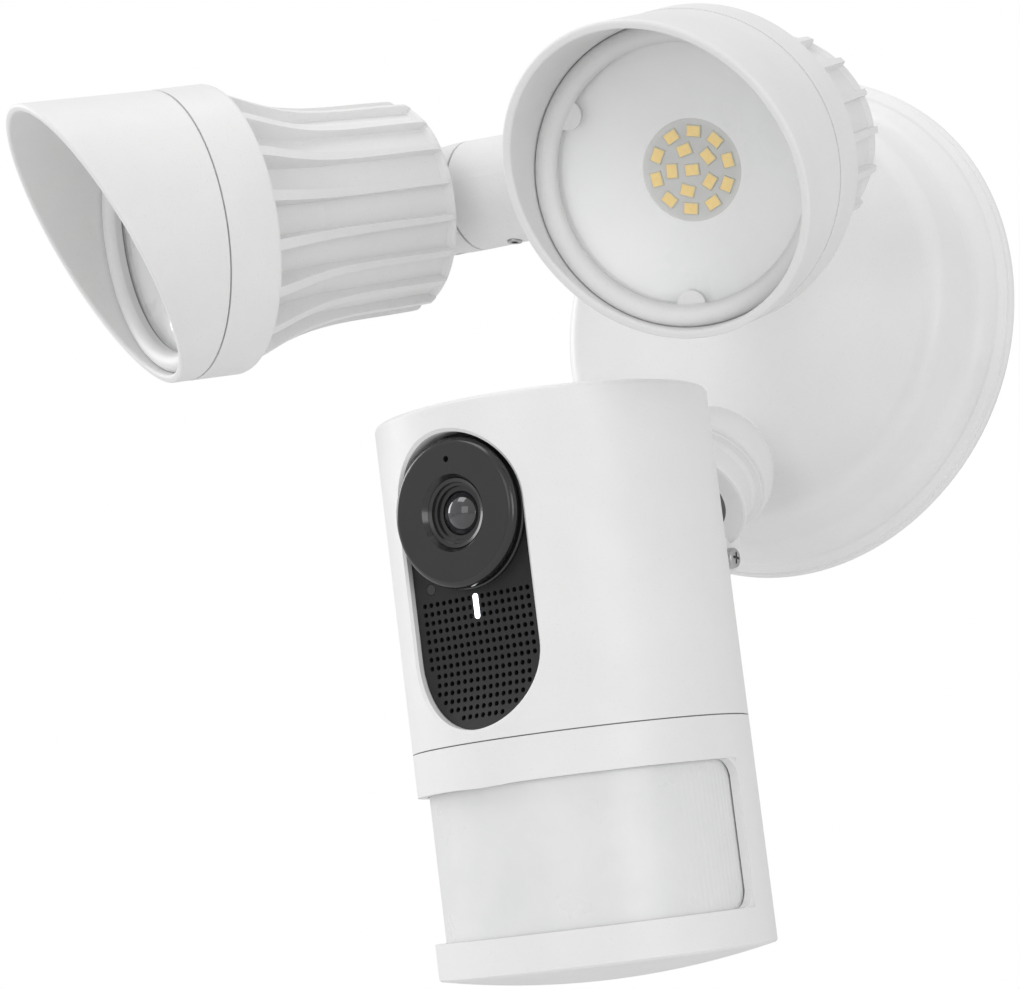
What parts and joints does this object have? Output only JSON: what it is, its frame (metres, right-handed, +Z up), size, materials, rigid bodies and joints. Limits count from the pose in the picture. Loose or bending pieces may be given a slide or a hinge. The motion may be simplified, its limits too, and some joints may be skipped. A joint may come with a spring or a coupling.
{
  "type": "floodlight security camera",
  "caption": "Wall-mounted floodlight camera: round plate, tee arm with two tilting finned lamps under hoods, and a cylindrical camera on a ball joint.",
  "frame": {"origin": "centre of the mounting bracket's back face, on the wall", "axes": "+Z up, +Y into the wall, +X to the right of someone who faces the wall"},
  "size_m": [0.2396, 0.2091, 0.255],
  "materials": {
    "white_plastic": "matte",
    "white_paint": "satin",
    "clear_lens": "gloss",
    "reflector_white": "gloss",
    "board_white": "matte",
    "led_phosphor": "satin",
    "seal_rubber": "matte",
    "screw_steel": "satin",
    "bracket_steel": "satin",
    "ball_metal": "satin",
    "liner_plastic": "matte",
    "circuit_board": "satin",
    "terminal_plastic": "matte",
    "black_panel": "satin",
    "black_gloss": "gloss",
    "lens_glass": "gloss",
    "light_guide": "gloss",
    "sensor_window": "gloss",
    "speaker_cone": "matte",
    "pir_white": "satin",
    "sensor_can": "polished"
  },
  "bodies": {
    "base": {"wall_bracket": "bracket_steel", "wall_gasket": "seal_rubber", "wall_plate": "white_plastic", "plate_screws": "screw_steel", "driver_board": "circuit_board", "terminal_block": "terminal_plastic", "lamp_arm": "white_paint", "arm_set_screws": "screw_steel", "arm_screws": "screw_steel", "neck_boss": "white_paint", "neck_collar": "white_paint", "clamp_screw": "screw_steel", "clamp_nut": "screw_steel"},
    "left_fork": {"left_knuckle": "white_paint", "left_pivot_pin": "screw_steel"},
    "left_lamp": {"left_heat_sink": "white_paint", "left_hood": "white_paint", "left_lens": "clear_lens", "left_lens_seal": "seal_rubber", "left_reflector": "reflector_white", "left_led_board": "board_white", "left_led_chips": "led_phosphor", "left_board_screws": "screw_steel"},
    "right_fork": {"right_knuckle": "white_paint", "right_pivot_pin": "screw_steel"},
    "right_lamp": {"right_heat_sink": "white_paint", "right_hood": "white_paint", "right_lens": "clear_lens", "right_lens_seal": "seal_rubber", "right_reflector": "reflector_white", "right_led_board": "board_white", "right_led_chips": "led_phosphor", "right_board_screws": "screw_steel"},
    "front_ring": {"socket_ring": "liner_plastic"},
    "rear_cup": {"socket_cup": "liner_plastic"},
    "camera": {"ball_stud": "ball_metal", "stud_screws": "screw_steel", "upper_shell": "white_plastic", "lower_shell": "white_plastic", "shell_seal": "seal_rubber", "shell_screws": "screw_steel", "faceplate": "black_panel", "status_light": "light_guide", "light_sensor": "sensor_window", "lens_housing": "black_gloss", "lens_barrel": "black_gloss", "lens_glass": "lens_glass", "image_sensor_board": "circuit_board", "speaker": "speaker_cone", "main_board": "circuit_board", "pir_lens": "pir_white", "pir_board": "circuit_board", "pir_sensor": "sensor_can"},
    "button": {"pairing_button": "white_plastic"}
  },
  "joints": [
    {"name": "left_lamp_tilt", "type": "hinge", "parent": "base", "child": "left_fork", "pos_m": [-0.051, -0.0873, 0.025], "axis": [-1, 0, 0], "range_deg": [-12, 75]},
    {"name": "left_lamp_pan", "type": "hinge", "parent": "left_fork", "child": "left_lamp", "pos_m": [-0.051, -0.0873, 0.025], "axis": [0, 0.271, -0.9626], "range_deg": [-19, 56]},
    {"name": "right_lamp_tilt", "type": "hinge", "parent": "base", "child": "right_fork", "pos_m": [0.051, -0.0873, 0.025], "axis": [-1, 0, 0], "range_deg": [-4, 75]},
    {"name": "right_lamp_pan", "type": "hinge", "parent": "right_fork", "child": "right_lamp", "pos_m": [0.051, -0.0873, 0.025], "axis": [0, -0.3755, 0.9268], "range_deg": [-3, 72]},
    {"name": "camera_tilt", "type": "hinge", "parent": "base", "child": "front_ring", "pos_m": [0, -0.05085, -0.05435], "axis": [1, 0, 0], "range_deg": [-3, 22]},
    {"name": "camera_roll", "type": "hinge", "parent": "front_ring", "child": "rear_cup", "pos_m": [0, -0.05085, -0.05435], "axis": [0, 0.7071, 0.7071], "range_deg": [-8, 8]},
    {"name": "camera_pan", "type": "hinge", "parent": "rear_cup", "child": "camera", "pos_m": [0, -0.05085, -0.05435], "axis": [-0.0599, -0.1258, 0.9902], "range_deg": [-15, 10]},
    {"name": "button_press", "type": "slide", "parent": "camera", "child": "button", "axis": [-0.0605, -0.9897, -0.1294], "range_m": [0, 0.0008], "stiffness_N_per_m": 350, "springref_m": -0.0004}
  ]
}
